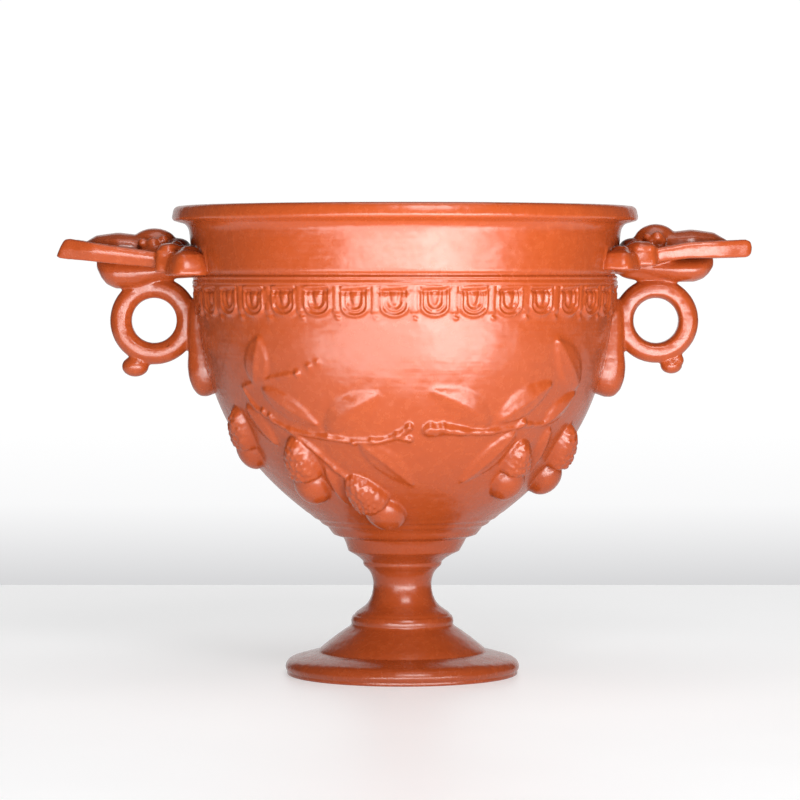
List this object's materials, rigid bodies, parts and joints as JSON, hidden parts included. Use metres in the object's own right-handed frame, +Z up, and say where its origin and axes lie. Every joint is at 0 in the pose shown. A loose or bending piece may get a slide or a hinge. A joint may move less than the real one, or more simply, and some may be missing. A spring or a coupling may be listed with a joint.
{
  "type": "terra sigillata cup",
  "caption": "Stemmed two-handled drinking cup in red-gloss pottery, with leaf-shaped thumb plates, finger rings, an egg frieze and a moulded relief of leaves and acorns.",
  "frame": {"origin": "centre of the foot, on the surface that the cup stands on", "axes": "+Z up through the stem and bowl, +X through the handles, the relief's front half faces -Y"},
  "size_m": [0.1808, 0.1206, 0.121],
  "materials": {
    "slip": "satin red-gloss slip over fired clay"
  },
  "bodies": {
    "root": {"cup": "slip"}
  },
  "joints": []
}
